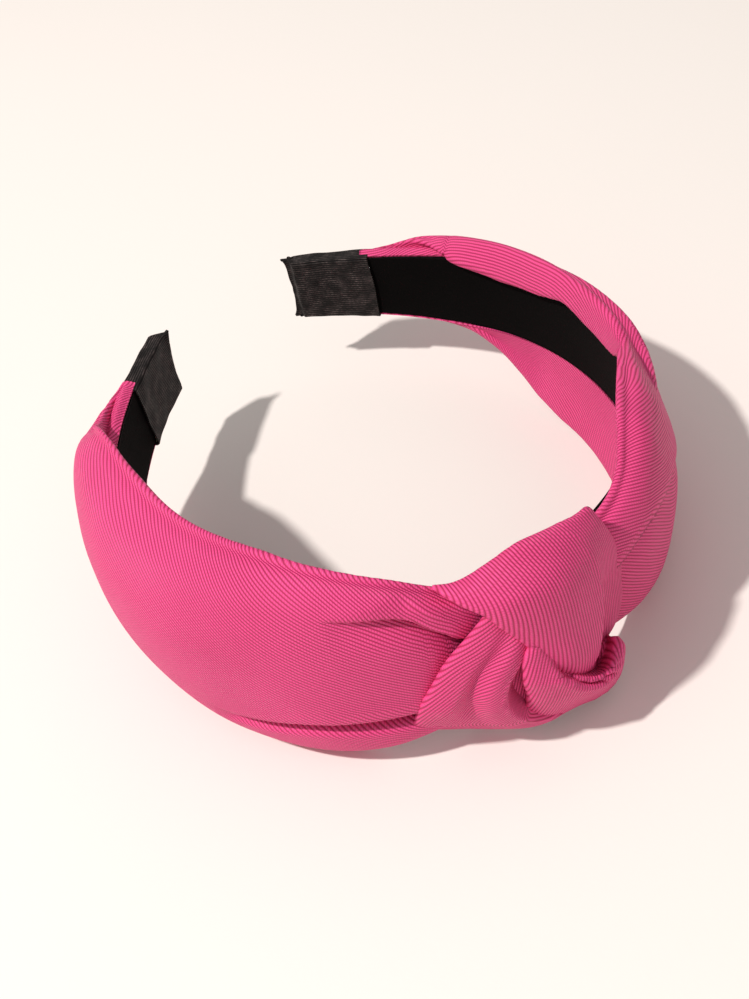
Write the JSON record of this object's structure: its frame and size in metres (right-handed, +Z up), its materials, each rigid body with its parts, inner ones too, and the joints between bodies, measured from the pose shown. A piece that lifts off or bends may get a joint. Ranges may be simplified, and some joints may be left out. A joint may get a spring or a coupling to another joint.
{
  "type": "knotted fabric headband",
  "caption": "Springy U-shaped hard headband, velvet lined inside, covered outside with wide pleated twill fabric knotted at the crown, with ribbon-wrapped tips.",
  "frame": {"origin": "centre of the round stretch of the lining's inner face, at mid-width of the band: where the head's centre would be", "axes": "+Z across the band's width, -Y towards the crown and the knot, +Y towards the two tips, +X towards the right arm when the knot faces the viewer and +Z is up"},
  "size_m": [0.1385, 0.1509, 0.058],
  "materials": {
    "core_plastic": "satin black moulded plastic",
    "velvet_lining": "black short-pile velvet ribbon",
    "grosgrain": "black ribbed grosgrain ribbon with a slight lustre",
    "twill": "hot pink diagonal twill with a soft sheen",
    "adhesive": "translucent amber hot-melt adhesive"
  },
  "bodies": {
    "root": {"core_band": "core_plastic", "lining_ribbon": "velvet_lining", "lining_adhesive": "adhesive", "left_end_wrap": "grosgrain", "right_end_wrap": "grosgrain", "left_wrap_adhesive": "adhesive", "right_wrap_adhesive": "adhesive", "left_wing": "twill", "right_wing": "twill", "left_wing_adhesive": "adhesive", "right_wing_adhesive": "adhesive", "knot_top_fold": "twill", "knot_lower_loop": "twill", "knot_swirl": "twill", "knot_adhesive": "adhesive"}
  },
  "joints": []
}
